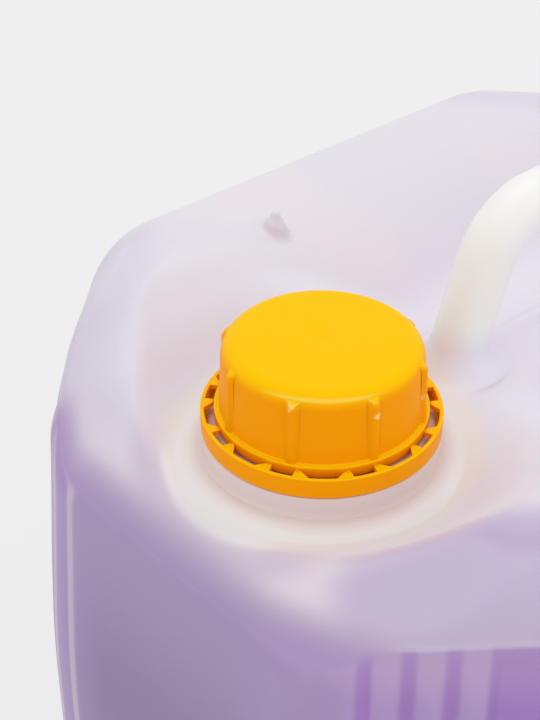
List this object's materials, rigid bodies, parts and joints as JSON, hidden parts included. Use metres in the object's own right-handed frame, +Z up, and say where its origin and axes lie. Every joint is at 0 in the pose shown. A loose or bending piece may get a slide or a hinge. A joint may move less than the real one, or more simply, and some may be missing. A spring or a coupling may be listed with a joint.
{
  "type": "fabric softener jug",
  "caption": "Milky blow-moulded stacking jug of lilac fabric softener, with a built-in tube handle, cut corners, a ribbed yellow screw cap and a tamper band.",
  "frame": {"origin": "middle of the footprint, on the surface that the jug stands on", "axes": "+X from the neck end to the far end, +Y to the left side seen from the neck end, +Z up"},
  "size_m": [0.253, 0.211, 0.2737],
  "materials": {
    "milky_polyethylene": "satin",
    "lilac_softener": "gloss",
    "yellow_polypropylene": "satin",
    "white_foam": "matte"
  },
  "bodies": {
    "jug": {"jug_body": "milky_polyethylene", "softener": "lilac_softener", "tamper_band": "yellow_polypropylene"},
    "disc": {"cap_liner": "white_foam"},
    "cap": {"screw_cap": "yellow_polypropylene"}
  },
  "joints": [
    {"name": "cap_lift", "type": "slide", "parent": "jug", "child": "disc", "axis": [0, 0, 1], "range_m": [0, 0.011]},
    {"name": "cap_turn", "type": "hinge", "parent": "disc", "child": "cap", "pos_m": [-0.075, 0, 0.244], "axis": [0, 0, 1], "range_deg": [0, 900]}
  ],
  "couplings": [
    {"joint": "cap_lift", "follows": "cap_turn", "m_per_rad": 0.00063662}
  ]
}
